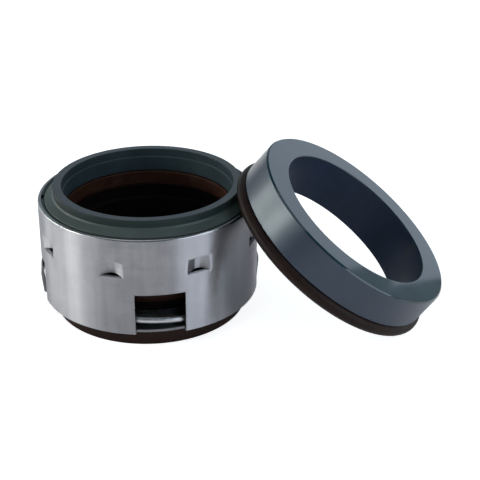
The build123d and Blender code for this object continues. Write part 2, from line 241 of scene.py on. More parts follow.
seatCarbide = {
    "groundSiliconCarbideSeat": {
        "dark": "#111c31", "light": "#172339", "speck": "#2a3645", "speckShare": 0.1, "cloudSize": 4.5,
        "specular": 0.64, "tint": "#e4f1f8", "roughLow": 0.28, "roughHigh": 0.31, "grainDepth": 0.002,
    },
    "lappedSiliconCarbideSeat": {
        "dark": "#0d2833", "light": "#12303d", "speck": "#263a45", "speckShare": 0.04, "cloudSize": 9,
        "specular": 0.5, "tint": "#ffffff", "roughLow": 0.04, "roughHigh": 0.06, "grainDepth": 0.0,
    },
    "furnacedSiliconCarbideSeat": {
        "dark": "#1f2a3b", "light": "#263145", "speck": "#333d4b", "speckShare": 0.1, "cloudSize": 8,
        "specular": 0.2, "tint": "#ffffff", "roughLow": 0.42, "roughHigh": 0.5, "grainDepth": 0.003,
    },
}
carbideGrain = 0.4  # the real grains are some hundredths of a millimetre, drawn coarser to show


# Sintered silicon carbide: dense, hard and dark. Ground sides are satin, and a lapped
# face is flat enough to mirror its surroundings softly.
def siliconCarbide(name, look):
    material, tree, place = newMaterial(name)
    grain = addNode(tree, "ShaderNodeTexNoise", None,
                    {"Vector": place, "Scale": 1 / (carbideGrain * mm), "Detail": 3, "Roughness": 0.6})
    cloud = addNode(tree, "ShaderNodeTexNoise", None,
                    {"Vector": place, "Scale": 1 / (look["cloudSize"] * mm), "Detail": 3, "Roughness": 0.55})
    cloudShare = addNode(tree, "ShaderNodeMapRange", None,
                         {"Value": cloud, "From Min": 0.3, "From Max": 0.7})
    speckShare = addNode(tree, "ShaderNodeMapRange", None,
                         {"Value": grain, "From Min": 0.4, "From Max": 0.7, "To Max": look["speckShare"]})
    tone = addNode(tree, "ShaderNodeMix", {"data_type": "RGBA"},
                   {mixShare: cloudShare, mixFrom: fromHex(look["dark"]), mixTo: fromHex(look["light"])})
    colour = addNode(tree, "ShaderNodeMix", {"data_type": "RGBA"},
                     {mixShare: speckShare, mixFrom: tone.outputs[mixResult], mixTo: fromHex(look["speck"])})
    rough = addNode(tree, "ShaderNodeMapRange", None,
                    {"Value": cloudShare, "To Min": look["roughLow"], "To Max": look["roughHigh"]})
    relief = addNode(tree, "ShaderNodeBump", None,
                     {"Height": grain, "Strength": 1.0, "Distance": look["grainDepth"] * mm})
    shader = addNode(tree, "ShaderNodeBsdfPrincipled", None,
                     {"Base Color": colour.outputs[mixResult], "Roughness": rough, "Normal": relief,
                      "IOR": 1.5, "Specular IOR Level": look["specular"],
                      "Specular Tint": fromHex(look["tint"])})
    addNode(tree, "ShaderNodeOutputMaterial", None, {"Surface": shader})
    return material


# The bellows is one moulding. Its lip is painted a lighter brown, which is painted light, and its inside
# nearly black, which is painted shade.
bellowsRubber = {
    "fluororubberBellows": {
        "dark": "#22130e", "light": "#2e1a14", "bloom": 6,
        "specular": 0.2, "roughLow": 0.45, "roughHigh": 0.55,
    },
    # painted light: the lip is a lighter brown than the rest of the moulding
    "fluororubberLipPaintedLight": {
        "dark": "#2c1810", "light": "#3c2419", "bloom": 4,
        "specular": 0.2, "roughLow": 0.42, "roughHigh": 0.52,
    },
    # painted shade: the inside below the lip is nearly black
    "fluororubberInsidePaintedShade": {
        "dark": "#0b0605", "light": "#120a08", "bloom": 6,
        "specular": 0.08, "roughLow": 0.6, "roughHigh": 0.7,
    },
}
cordRubber = {
    "dark": "#1d1311", "light": "#291c19", "bloom": 5,
    "specular": 0.15, "roughLow": 0.4, "roughHigh": 0.5,
}
rubberSkin = {"size": 0.55, "depth": 0.03}


# Moulded rubber: matt, with a fine skin from the mould and a slight bloom.
def mouldedRubber(name, look):
    material, tree, place = newMaterial(name)
    skin = addNode(tree, "ShaderNodeTexNoise", None,
                   {"Vector": place, "Scale": 1 / (rubberSkin["size"] * mm), "Detail": 3, "Roughness": 0.6})
    bloom = addNode(tree, "ShaderNodeTexNoise", None,
                    {"Vector": place, "Scale": 1 / (look["bloom"] * mm), "Detail": 3, "Roughness": 0.6})
    share = addNode(tree, "ShaderNodeMapRange", None, {"Value": bloom, "From Min": 0.3, "From Max": 0.7})
    colour = addNode(tree, "ShaderNodeMix", {"data_type": "RGBA"},
                     {mixShare: share, mixFrom: fromHex(look["dark"]), mixTo: fromHex(look["light"])})
    rough = addNode(tree, "ShaderNodeMapRange", None,
                    {"Value": share, "To Min": look["roughLow"], "To Max": look["roughHigh"]})
    relief = addNode(tree, "ShaderNodeBump", None,
                     {"Height": skin, "Strength": 0.25, "Distance": rubberSkin["depth"] * mm})
    shader = addNode(tree, "ShaderNodeBsdfPrincipled", None,
                     {"Base Color": colour.outputs[mixResult], "Roughness": rough, "Normal": relief,
                      "IOR": 1.4, "Specular IOR Level": look["specular"]})
    addNode(tree, "ShaderNodeOutputMaterial", None, {"Surface": shader})
    return material


shellSteel = drawnStainless(drawnLook)
steel = {name: workedSteel(name, look) for name, look in steelLooks.items()}
primaryFinishes = [siliconCarbide(name, look) for name, look in primaryCarbide.items()]
seatFinishes = [siliconCarbide(name, look) for name, look in seatCarbide.items()]
bellowsFinishes = [mouldedRubber(name, look) for name, look in bellowsRubber.items()]
cordFinish = mouldedRubber("fluororubberRing", cordRubber)
print("materials made")


def rounded(corners, steps=5, support=0.12):
    # corners are (radius, height, rounding). A rounding becomes an arc, with one more
    # point just before and just after it, so that the flats beside it shade flat.
    points = []
    for index, corner in enumerate(corners):
        here = Vector(corner[:2])
        rounding = corner[2] if len(corner) > 2 else 0
        if not rounding:
            points.append(here)
            continue
        before = Vector(corners[index - 1][:2]) - here
        after = Vector(corners[(index + 1) % len(corners)][:2]) - here
        half = before.angle(after) / 2
        setback = rounding / math.tan(half)
        middle = here + (before.normalized() + after.normalized()).normalized() * (rounding / math.sin(half))
        start = here + before.normalized() * setback
        end = here + after.normalized() * setback
        room = min(support, (before.length - setback) / 3, (after.length - setback) / 3)
        points.append(start + before.normalized() * room)
        sweep = math.pi - 2 * half
        for step in range(steps + 1):
            part = step / steps
            fromStart = math.sin((1 - part) * sweep) / math.sin(sweep)
            fromEnd = math.sin(part * sweep) / math.sin(sweep)
            points.append(middle + (start - middle) * fromStart + (end - middle) * fromEnd)
        points.append(end + after.normalized() * room)
    return points


def meshPiece(name, vertices, faces, materials, marks, sharp=35):
    # marks gives each face's place in materials; edges over sharp degrees stay crisp
    mesh = bpy.data.meshes.new(name)
    mesh.from_pydata([tuple(c * mm for c in v) for v in vertices], [], faces)
    for material in materials:
        mesh.materials.append(material)
    mesh.polygons.foreach_set("material_index", marks)
    mesh.polygons.foreach_set("use_smooth", [True] * len(mesh.polygons))
    mesh.set_sharp_from_angle(angle=math.radians(sharp))
    mesh.validate()
    mesh.update()
    piece = bpy.data.objects.new(name, mesh)
    bpy.context.scene.collection.objects.link(piece)
    return piece


def turned(name, profile, materials, markOf, origin=(0, 0, 0), axis=(0, 0, 1), steps=300):
    # The closed (radius, height) profile runs anticlockwise and is turned round the axis.
    # markOf takes the greatest radius, the lowest and the highest point of one line of
    # it, and gives that line's place in materials.
    up = Vector(axis).normalized()
    across = (Vector((1, 0, 0)) - up * up.x).normalized()
    behind = up.cross(across)
    centre = Vector(origin)
    count = len(profile)
    vertices, faces, marks = [], [], []
    for step in range(steps):
        angle = 2 * math.pi * step / steps
        outwards = across * math.cos(angle) + behind * math.sin(angle)
        vertices += [centre + outwards * radius + up * height for radius, height in profile]
    for step in range(steps):
        this, following = step * count, (step + 1) % steps * count
        for i in range(count):
            j = (i + 1) % count
            faces.append((this + i, following + i, following + j, this + j))
            radii, heights = zip(profile[i], profile[j])
            marks.append(markOf(max(radii), min(heights), max(heights)))
    return meshPiece(name, vertices, faces, materials, marks)


shellSizes = {
    "wall": 1.1,
    "rimRound": 0.7,
    "rimInnerEdge": 0.08,
    "edgeRound": 0.3,
    "grooveTop": 37.65,
    "grooveBottom": 36.65,
    "grooveRadius": 34.4,
    "rubbedDepth": 0.6,  # how far down from its top the rim is rubbed bright
    "windows": 4,
    "windowWidth": 15.6,
    "windowTop": 19.45,
    "windowHeading": -85.7,
    "tongues": 8,
    "tongueHeading": -65.1,
    "tongueBottom": 25.15,  # where the sheet is slit
    "tongueShoulder": 29.9,  # where its steep upper end starts
    "tongueTop": 30.35,
    "tongueWidth": 8.0,
    "tongueFloor": 1.6,
    "tongueFade": 0.6,  # how far above its top the sheet still bends
    "slitWidth": 6.6,
    "tongueDepth": 2.2,
    "shoulderDepth": 1.3,
    "arch": 0.55,  # how far a tongue's free edge bows up in its middle
    "archFade": 2.7,  # and how far above the slit the bow runs out
    "floorSoftness": 0.6,  # of the bends beside a tongue's floor
    "lipSoftness": 0.2,  # of the bends round its outside
    "lipReach": 1.0,  # how far beside it the sheet still bends
}

# Where the shell's mesh has its rows, by height, and its columns. Steps are measured
# from the edge that they are named for. All are in millimetres, except edgeArc,
# windowSideSteps, plainColumns and columnRoom, which are in degrees.
shellMesh = {
    "edgeArc": (0, 22.5, 45, 67.5, 90),
    "lowRow": 0.6,
    "windowRows": (8, 10, 12, 14, 16, 18),
    "windowTopSteps": (-0.4, 0, 0.3),
    "wallRows": (21, 22.5, 24, 24.7),
    "slitSteps": (0, 0.2, 0.6, 1.2, 1.9, 2.7, 3.5),
    "shoulderSteps": (-0.4, -0.2, 0, 0.15),
    "tongueTopSteps": (-0.15, 0, 0.15, 0.35, 0.7),
    "lastRow": 32,
    "bandRows": (33.5, 35, 36.5),
    "rimSupport": 0.1,
    "rimSteps": 8,
    "insideRow": 34.5,
    "tongueColumns": (0, 0.4, 1.2, 1.7, 2.2, 2.7),
    "floorEdgeSteps": (-0.15, 0, 0.15),
    "slitEndSteps": (-0.2, 0, 0.2),
    "tongueSideSteps": (-0.25, 0, 0.2, 0.5),
    "windowSideSteps": (-0.4, 0, 0.25, 0.6),
    "plainColumns": 1.5,
    "columnRoom": 0.5,
}


def softLeast(a, b, softness):
    # the lesser of two values, with a rounded corner where they meet
    return (a + b - math.sqrt((a - b) ** 2 + softness**2)) / 2


def tongueDepthAt(height, s):
    # how deep a tongue is pressed in, or None where the sheet is left round
    if height < s["tongueBottom"] - hair or height > s["tongueTop"] + s["tongueFade"]:
        return None
    run = (s["tongueShoulder"] - height) / (s["tongueShoulder"] - s["tongueBottom"])
    floor = s["shoulderDepth"] + (s["tongueDepth"] - s["shoulderDepth"]) * run
    slope = (s["tongueTop"] - height) / (s["tongueTop"] - s["tongueShoulder"])
    return softLeast(floor, s["shoulderDepth"] * slope, s["lipSoftness"])


def tonguePoint(radius, across, height, inner, s):
    # distance from the axis, towards the tongue's heading, of the pressed sheet
    onShell = math.sqrt(radius**2 - across**2)
    depth = tongueDepthAt(height, s)
    if depth is None:
        return onShell
    wall = s["wall"] if inner else 0
    outerRadius = radius + wall
    halfWidth, halfFloor = s["tongueWidth"] / 2, s["tongueFloor"] / 2
    rise = math.sqrt(outerRadius**2 - halfWidth**2) - outerRadius + max(depth, s["shoulderDepth"] / 2)
    floor = outerRadius - depth
    side = floor + rise / (halfWidth - halfFloor) * max(abs(across) - halfFloor, 0)
    trough = -softLeast(-floor, -side, s["floorSoftness"])
    drop = onShell - softLeast(onShell, trough - wall, s["lipSoftness"])
    return onShell - drop * min(1, max(0, (halfWidth + s["lipReach"] - abs(across)) / s["lipReach"] * 2))


def shellColumns(s, m, radius):
    # The mesh's columns by heading in degrees: in a tongue, the tongue's number and the
    # distance from its middle, and elsewhere None. Then where each window starts and ends.
    across = list(m["tongueColumns"])
    across += [s["tongueFloor"] / 2 + step for step in m["floorEdgeSteps"]]
    across += [s["slitWidth"] / 2 + step for step in m["slitEndSteps"]]
    across += [s["tongueWidth"] / 2 + step for step in (*m["tongueSideSteps"], s["lipReach"])]
    columns, windows = {}, []
    for tongue in range(s["tongues"]):
        heading = (s["tongueHeading"] + tongue * 360 / s["tongues"]) % 360
        for distance in across:
            turn = math.degrees(math.asin(distance / radius))
            columns[round((heading + turn) % 360, 4)] = (tongue, distance)
            columns[round((heading - turn) % 360, 4)] = (tongue, -distance)
    half = math.degrees(math.asin(s["windowWidth"] / 2 / radius))
    for window in range(s["windows"]):
        heading = s["windowHeading"] + window * 360 / s["windows"]
        windows.append((heading - half, heading + half))
        for side in (-1, 1):
            for step in m["windowSideSteps"]:
                columns.setdefault(round((heading + side * (half + step)) % 360, 4), None)
    taken = sorted(columns)
    for step in range(round(360 / m["plainColumns"])):
        heading = step * m["plainColumns"]
        if all(abs((heading - t + 180) % 360 - 180) > m["columnRoom"] for t in taken):
            columns[round(heading, 4)] = None
    return columns, windows


def shellRows(s, m, radius, bottom):
    # (radius, height) of the mesh's rows, from the lower edge to the last below the band
    rows = []
    for angle in (math.radians(degrees) for degrees in m["edgeArc"]):
        rows.append((radius - s["edgeRound"] * (1 - math.sin(angle)),
                     bottom + s["edgeRound"] * (1 - math.cos(angle))))
    levels = [bottom + m["lowRow"], *m["windowRows"]]
    levels += [s["windowTop"] + step for step in m["windowTopSteps"]]
    levels += m["wallRows"]
    levels += [s["tongueBottom"] + step for step in m["slitSteps"]]
    levels += [s["tongueShoulder"] + step for step in m["shoulderSteps"]]
    levels += [s["tongueTop"] + step for step in m["tongueTopSteps"]]
    levels += [m["lastRow"]]
    return rows + [(radius, height) for height in levels]


def shellBand(s, m, radius, rim):
    # (radius, height) of the band's rings: up the outside, over the rim, and down round
    # the snap ring's groove
    bore, edge = radius - s["wall"], s["rimInnerEdge"]
    rings = [(radius, height) for height in (*m["bandRows"], rim - s["rimRound"] - m["rimSupport"])]
    for step in range(m["rimSteps"] + 1):
        angle = math.radians(90 * step / m["rimSteps"])
        rings.append((radius - s["rimRound"] * (1 - math.cos(angle)),
                      rim - s["rimRound"] * (1 - math.sin(angle))))
    rings += [(bore + edge, rim), (bore + edge / 4, rim - edge / 4), (bore, rim - edge)]
    rings += [(bore, s["grooveTop"]), (s["grooveRadius"], s["grooveTop"])]
    rings += [(s["grooveRadius"], s["grooveBottom"]), (bore, s["grooveBottom"])]
    return rings + [(bore, m["insideRow"])]


def makeShell(s, m):
    low, high = (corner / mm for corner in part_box("drive_shell"))
    radius, bottom, rim = high.x, low.z, high.z
    bore = radius - s["wall"]
    slitHalf = s["slitWidth"] / 2
    columns, windows = shellColumns(s, m, radius)
    headings = sorted(columns)
    rows = shellRows(s, m, radius, bottom)
    heights = [row[1] for row in rows]
    windowRow, slitRow = heights.index(s["windowTop"]), heights.index(s["tongueBottom"])
    lastRow = len(rows) - 1

    def inWindow(heading):
        return any((heading - start) % 360 < (end - start) % 360 for start, end in windows)

    def place(heading, row, inner, upper):
        # where a column and a row cross, pushed in if that is on a tongue
        r, z = rows[row]
        if inner:
            r = bore
        turn = math.radians(heading)
        if columns[heading] is None or row < slitRow or (row == slitRow and not upper):
            return (r * math.cos(turn), r * math.sin(turn), z)
        tongue, across = columns[heading]
        sideways = across * r / radius
        outwards = tonguePoint(r, sideways, z, inner, s)
        lift = max(0.0, 1 - (across / slitHalf) ** 2) * s["arch"]
        z += lift * max(0.0, 1 - (z - s["tongueBottom"]) / s["archFade"])
        turn = math.radians(s["tongueHeading"] + tongue * 360 / s["tongues"])
        return (
            outwards * math.cos(turn) - sideways * math.sin(turn),
            outwards * math.sin(turn) + sideways * math.cos(turn),
            z,
        )

    vertices, known = [], {}

    def vertex(i, row, inner, above):
        # along a slit there are two vertices: the wall's below, and the tongue's above
        heading = headings[i % len(headings)]
        tongue = columns[heading]
        onSlit = row == slitRow and tongue is not None and abs(tongue[1]) < slitHalf - hair
        upper = above if onSlit else True
        key = (heading, row, inner, upper)
        if key not in known:
            known[key] = len(vertices)
            vertices.append(place(heading, row, inner, upper))
        return known[key]

    # the wall's outside, with its windows left open, and the same faces inside
    outer, innerOf = [], {}
    for i, heading in enumerate(headings):
        following = headings[(i + 1) % len(headings)]
        middle = (heading + ((following - heading) % 360) / 2) % 360
        for row in range(lastRow):
            if row < windowRow and inWindow(middle):
                continue
            quad = []
            for right, up, above in ((0, 0, True), (1, 0, True), (1, 1, False), (0, 1, False)):
                corner = vertex(i + right, row + up, False, above)
                innerOf[corner] = vertex(i + right, row + up, True, above)
                quad.append(corner)
            outer.append(tuple(quad))
    faces = outer + [tuple(innerOf[v] for v in reversed(quad)) for quad in outer]
    marks = [0] * len(faces)

    # the band over the rim, from the last row outside to the last row inside
    band = shellBand(s, m, radius, rim)
    rings = [[vertex(i, lastRow, False, True) for i in range(len(headings))]]
    for r, z in band:
        rings.append([len(vertices) + i for i in range(len(headings))])
        vertices += [(r * math.cos(turn), r * math.sin(turn), z) for turn in map(math.radians, headings)]
    rings.append([vertex(i, lastRow, True, True) for i in range(len(headings))])
    band = [rows[lastRow], *band, (bore, rows[lastRow][1])]
    for lower, upper, here, there in zip(rings, rings[1:], band, band[1:]):
        rubbed = min(here[1], there[1]) > rim - s["rubbedDepth"] and min(here[0], there[0]) > bore
        for i in range(len(headings)):
            j = (i + 1) % len(headings)
            faces.append((lower[i], lower[j], upper[j], upper[i]))
            marks.append(int(rubbed))

    # sheared edges join the outside to the inside
    directed = {(quad[k], quad[(k + 1) % 4]) for quad in outer for k in range(4)}
    topRing = set(rings[0])
    for a, b in sorted(directed):
        if (b, a) not in directed and not (a in topRing and b in topRing):
            faces.append((b, a, innerOf[a], innerOf[b]))
            marks.append(0)
    finishes = [shellSteel, steel["rubbedStainlessRim"]]
    return meshPiece("drive_shell_drawn", vertices, faces, finishes, marks, sharp=40)


shell = makeShell(shellSizes, shellMesh)
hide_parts("drive_shell")
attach(shell, "housing")
print("drive shell made,", len(shell.data.polygons), "faces")


# Bore, counterbore, flange, shoulder and nose are radii. Bottom, tops and face are
# heights above the floor.
primarySizes = {
    "bore": 26.9,
    "counterbore": 27.2,
    "counterboreDepth": 2.6,
    "counterboreSlope": 0.3,
    "flange": 33.6,
    "shoulder": 32.9,
    "nose": 30.1,
    "bottom": 34.35,
    "flangeTop": 36.7,
    "shoulderTop": 37.8,
    "coneTop": 39.2,
    "face": 42.0,
    "edge": 0.22,
    "flangeRound": 0.15,
    "shoulderRound": 0.35,
    "coneRound": 0.9,
    "boreRound": 0.05,
}


def makePrimaryRing(s):
    step = s["face"] - s["counterboreDepth"]
    profile = rounded(
        [
            (s["bore"], s["bottom"], s["flangeRound"]),
            (s["flange"], s["bottom"], s["flangeRound"]),
            (s["flange"], s["flangeTop"], s["flangeRound"]),
            (s["shoulder"], s["flangeTop"]),
            (s["shoulder"], s["shoulderTop"], s["shoulderRound"]),
            (s["nose"], s["coneTop"], s["coneRound"]),
            (s["nose"], s["face"], s["edge"]),
            (s["counterbore"], s["face"], s["edge"]),
            (s["counterbore"], step, s["boreRound"]),
            (s["bore"], step - s["counterboreSlope"], s["boreRound"]),
        ]
    )
    # the nose's side gets the darker look, which is painted shade
    ground, lapped, furnaced, paintedShadeNoseSide = range(len(primaryFinishes))

    def finish(outer, low, high):
        if low > s["face"] - hair:
            return lapped
        if outer < s["counterbore"] + hair:
            return furnaced
        return paintedShadeNoseSide if outer < s["nose"] + hair and low > s["coneTop"] else ground

    return turned("primary_ring_turned", profile, primaryFinishes, finish)


primaryRing = makePrimaryRing(primarySizes)
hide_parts("primary_ring")
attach(primaryRing, "face")
print("primary ring made")


# Shaft, foot, tail, crest, neck, head, lip and relief are radii. Tops, bottoms, the
# crest's level, the grip's end and the inside of the neck are heights above the floor.
bellowsSizes = {
    "shaft": 25.0,
    "foot": 31.0,
    "footTop": 5.95,
    "tail": 26.9,
    "tailTop": 10.7,
    "grip": 9.5,
    "crest": 29.7,
    "crestLevel": 17.45,
    "wall": 1.6,
    "neck": 28.2,
    "neckBottom": 23.1,
    "headBottom": 24.2,
    "head": 31.2,
    "headTop": 34.15,
    "lip": 26.3,
    "lipBottom": 29.95,
    "lipSlope": 0.9,
    "relief": 27.2,
    "reliefBottom": 24.9,
    "neckInside": 24.0,
    "cornerRound": 0.5,
    "topRound": 0.35,
    "edgeRound": 0.3,
    "innerRound": 0.2,
}


def halfWave(start, end, steps=12):
    # upright at both ends, as a moulded convolution runs, with its ends left out
    points = []
    for step in range(1, steps):
        part = step / steps
        across = start[0] + (end[0] - start[0]) * (1 - math.cos(math.pi * part)) / 2
        points.append((across, start[1] + (end[1] - start[1]) * part))
    return points


def makeBellows(s):
    tail, crest, neck = (s["tail"], s["tailTop"]), (s["crest"], s["crestLevel"]), (s["neck"], s["neckBottom"])
    innerNeck = (s["neck"] - s["wall"], s["neckInside"])
    innerCrest = (s["crest"] - s["wall"], s["crestLevel"])
    grip = (s["shaft"], s["grip"])
    outside = [
        (s["shaft"], 0, s["edgeRound"]),
        (s["foot"], 0, s["cornerRound"]),
        (s["foot"], s["footTop"], s["topRound"]),
        (s["tail"], s["footTop"], s["innerRound"]),
        tail,
        *halfWave(tail, crest),
        crest,
        *halfWave(crest, neck),
        neck,
        (s["neck"], s["headBottom"], s["innerRound"]),
        (s["head"], s["headBottom"], s["cornerRound"]),
        (s["head"], s["headTop"], s["edgeRound"]),
    ]
    inside = [
        (s["lip"], s["headTop"], s["topRound"]),
        (s["lip"], s["lipBottom"], s["innerRound"]),
        (s["relief"], s["lipBottom"] - s["lipSlope"], s["edgeRound"]),
        (s["relief"], s["reliefBottom"], s["edgeRound"]),
        innerNeck,
        *halfWave(innerNeck, innerCrest),
        innerCrest,
        *halfWave(innerCrest, grip),
        grip,
    ]
    # the lip's lighter brown is painted light, and the nearly black inside, below the lip, is painted shade
    plain, lip, shaded = range(len(bellowsFinishes))
    margin = 1.0  # wider than any rounding and narrower than any wall

    def finish(outer, low, high):
        if low > s["lipBottom"] - margin and outer < s["head"] - margin:
            return lip
        return shaded if outer < s["relief"] + margin and s["grip"] / 2 < high < s["lipBottom"] else plain

    return turned("bellows_moulded", rounded(outside + inside), bellowsFinishes, finish)


bellows = makeBellows(bellowsSizes)
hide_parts("bellows")
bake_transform(bellows)
print("bellows made")


coilSizes = {
    "wireRadius": 1.3,
    "coilRadius": 31.5,
    "lowLevel": 8.35,
    "highLevel": 21.7,
    "closedTurns": 0.78,
    "activeTurns": 1.07,
    "easeTurns": 0.06,
    "tipHeading": -148.0,
    "points": 420,
    "sides": 28,
}


def coilTree():
    tree = bpy.data.node_groups.new("closedEndCoil", "GeometryNodeTree")
    tree.interface.new_socket("Geometry", in_out="OUTPUT", socket_type="NodeSocketGeometry")
    inputs = {
        "NodeSocketFloat": ("Wire Radius", "Coil Radius", "Low Level", "High Level",
                            "Closed Turns", "Active Turns", "Ease Turns", "Tip Heading"),
        "NodeSocketInt": ("Points", "Sides"),
        "NodeSocketMaterial": ("Material",),
    }
    for kind, names in inputs.items():
        for name in names:
            tree.interface.new_socket(name, in_out="INPUT", socket_type=kind)
    given = addNode(tree, "NodeGroupInput").outputs

    line = addNode(tree, "GeometryNodeMeshLine", None, {"Count": given["Points"]})
    path = addNode(tree, "GeometryNodeMeshToCurve", None, {"Mesh": line})
    # how far along the wire each point is, in turns from its lower tip
    index = addNode(tree, "GeometryNodeInputIndex")
    last = addNode(tree, "ShaderNodeMath", {"operation": "SUBTRACT"}, {0: given["Points"], 1: 1.0})
    share = addNode(tree, "ShaderNodeMath", {"operation": "DIVIDE"}, {0: index, 1: last})
    allTurns = addNode(tree, "ShaderNodeMath", {"operation": "MULTIPLY_ADD"},
                       {0: given["Closed Turns"], 1: 2.0, 2: given["Active Turns"]})
    turns = addNode(tree, "ShaderNodeMath", {"operation": "MULTIPLY"}, {0: share, 1: allTurns})
    # flat, then rising steadily, then flat, with a short ease at each change
    risen = addNode(tree, "ShaderNodeMath", {"operation": "SUBTRACT"}, {0: turns, 1: given["Closed Turns"]})
    rise = addNode(tree, "ShaderNodeMath", {"operation": "DIVIDE"}, {0: risen, 1: given["Active Turns"]})
    ease = addNode(tree, "ShaderNodeMath", {"operation": "DIVIDE"},
                   {0: given["Ease Turns"], 1: given["Active Turns"]})
    fromFlat = addNode(tree, "ShaderNodeMath", {"operation": "SMOOTH_MAX"}, {0: rise, 1: 0.0, 2: ease})
    toFlat = addNode(tree, "ShaderNodeMath", {"operation": "SMOOTH_MIN"}, {0: fromFlat, 1: 1.0, 2: ease})
    climb = addNode(tree, "ShaderNodeMath", {"operation": "SUBTRACT"},
                    {0: given["High Level"], 1: given["Low Level"]})
    height = addNode(tree, "ShaderNodeMath", {"operation": "MULTIPLY_ADD"},
                     {0: toFlat, 1: climb, 2: given["Low Level"]})
    # a left-hand coil turns clockwise, seen from above, as it rises
    heading = addNode(tree, "ShaderNodeMath", {"operation": "MULTIPLY_ADD"},
                      {0: turns, 1: -2 * math.pi, 2: given["Tip Heading"]})
    outwards = addNode(tree, "ShaderNodeCombineXYZ", None, {"X": given["Coil Radius"], "Z": height})
    place = addNode(tree, "ShaderNodeVectorRotate", {"rotation_type": "Z_AXIS"},
                    {"Vector": outwards, "Angle": heading})
    coil = addNode(tree, "GeometryNodeSetPosition", None, {"Geometry": path, "Position": place})
    section = addNode(tree, "GeometryNodeCurvePrimitiveCircle", None,
                      {"Resolution": given["Sides"], "Radius": given["Wire Radius"]})
    wire = addNode(tree, "GeometryNodeCurveToMesh", None,
                   {"Curve": coil, "Profile Curve": section, "Fill Caps": True})
    real = addNode(tree, "GeometryNodeRealizeInstances", None, {"Geometry": wire})
    painted = addNode(tree, "GeometryNodeSetMaterial", None,
                      {"Geometry": real, "Material": given["Material"]})
    addNode(tree, "NodeGroupOutput", None, {"Geometry": painted})
    return tree


def grown(name, tree, values, sharp=35):
    # runs a geometry tree and keeps its result as a plain mesh
    holder = bpy.data.objects.new(name, bpy.data.meshes.new(name + "_seed"))
    bpy.context.scene.collection.objects.link(holder)
    modifier = holder.modifiers.new("grown", "NODES")
    modifier.node_group = tree
    for item in tree.interface.items_tree:
        if item.in_out == "INPUT":
            modifier[item.identifier] = values[item.name]
    evaluated = holder.evaluated_get(bpy.context.evaluated_depsgraph_get())
    mesh = bpy.data.meshes.new_from_object(evaluated)
    holder.modifiers.remove(modifier)
    holder.data = mesh
    mesh.polygons.foreach_set("use_smooth", [True] * len(mesh.polygons))
    mesh.set_sharp_from_angle(angle=math.radians(sharp))
    return holder


def makeCoil(s):
    values = {
        "Wire Radius": s["wireRadius"] * mm,
        "Coil Radius": s["coilRadius"] * mm,
        "Low Level": s["lowLevel"] * mm,
        "High Level": s["highLevel"] * mm,
        "Closed Turns": s["closedTurns"],
        "Active Turns": s["activeTurns"],
        "Ease Turns": s["easeTurns"],
        "Tip Heading": math.radians(s["tipHeading"]),
        "Points": s["points"],
        "Sides": s["sides"],
        "Material": steel["drawnSpringWire"],
    }
    return grown("coil_spring_wire", coilTree(), values)


coil = makeCoil(coilSizes)
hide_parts("coil_spring")
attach(coil, "housing")
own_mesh(coil)
print("coil spring made,", len(coil.data.polygons), "faces")


# Face, back, bore, neck and cordCentre are radii, and cord is the O-ring's own. Body,
# neckLength, chamfer and cordDepth are measured back from the lapped face, along the axis.
seatSizes = {
    "faceCentre": (65.2456, -14.7354, 33.4481),
    "axis": (0.585658, -0.146890, 0.797137),
    "face": 35.35,
    "back": 35.55,
    "sideLean": 0.018,  # how much wider the side is for each millimetre down from the face
    "bore": 27.0,
    "body": 10.9,
    "neck": 32.41,
    "neckLength": 4.73,
    "chamfer": 0.45,
    "chamferEase": 0.2,
    "lappedBelow": 0.1,  # how far below the chamfer the lapped finish reaches
    "edge": 0.25,
    "neckRound": 0.2,
    "backRound": 0.3,
    "cord": 2.12,
    "cordCentre": 34.63,
    "cordDepth": 13.07,
    "cordSides": 40,
}


def makeSeat(s):
    back = s["body"] + s["neckLength"]
    profile = rounded(
        [
            (s["bore"], -back, s["edge"]),
            (s["neck"], -back, s["edge"]),
            (s["neck"], -s["body"], s["neckRound"]),
            (s["back"], -s["body"], s["backRound"]),
            (s["face"] + s["chamfer"] * s["sideLean"], -s["chamfer"], s["chamferEase"]),
            (s["face"] - s["chamfer"], 0, s["chamferEase"]),
            (s["bore"], 0, s["edge"]),
        ]
    )
    ground, lapped, furnaced = range(len(seatFinishes))

    def finish(outer, low, high):
        if low > -s["chamfer"] - s["lappedBelow"]:
            return lapped
        return furnaced if outer < s["bore"] + hair else ground

    return turned("seat_ring_ground", profile, seatFinishes, finish, s["faceCentre"], s["axis"])


def makeSeatCord(s):
    profile = []
    for step in range(s["cordSides"]):
        angle = 2 * math.pi * step / s["cordSides"]
        profile.append((s["cordCentre"] + s["cord"] * math.cos(angle),
                        -s["cordDepth"] + s["cord"] * math.sin(angle)))

    def finish(outer, low, high):
        return 0

    return turned("seat_o_ring_moulded", profile, [cordFinish], finish, s["faceCentre"], s["axis"])


seatRing = makeSeat(seatSizes)
seatCord = makeSeatCord(seatSizes)
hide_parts("seat_ring")
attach(seatRing, "housing")
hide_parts("seat_o_ring")
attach(seatCord, "housing")
print("seat made")


keptFinishes = {
    "snap_ring": steel["springSteelRing"],
    "drive_ring": steel["pressedStainless"],
    "spring_disc": steel["pressedStainless"],
}

for node, material in keptFinishes.items():
    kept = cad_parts[node]
    kept.data.materials.clear()
    kept.data.materials.append(material)
print("kept pieces painted")


studioSizes = {
    "floorReach": 3000,
    "paperColour": 0.8,
    "paperGlow": 0.8,  # with the lamps' light on it, the paper shows white
    "shadeReach": 150,
    "shadeDepth": 1.7,
    "wallColour": "#dff5ff",
    "wallGlow": 0.45,
    "roomGlow": 0.2,
    "roomStart": -0.3,  # how far a direction turns to the camera's side, -1 is straight at it
    "roomEnd": -0.95,
    "topGlow": 0.12,
    "wallTop": 26,  # degrees above the floor
    "topStart": 60,
    "roomLight": 0.2,
}


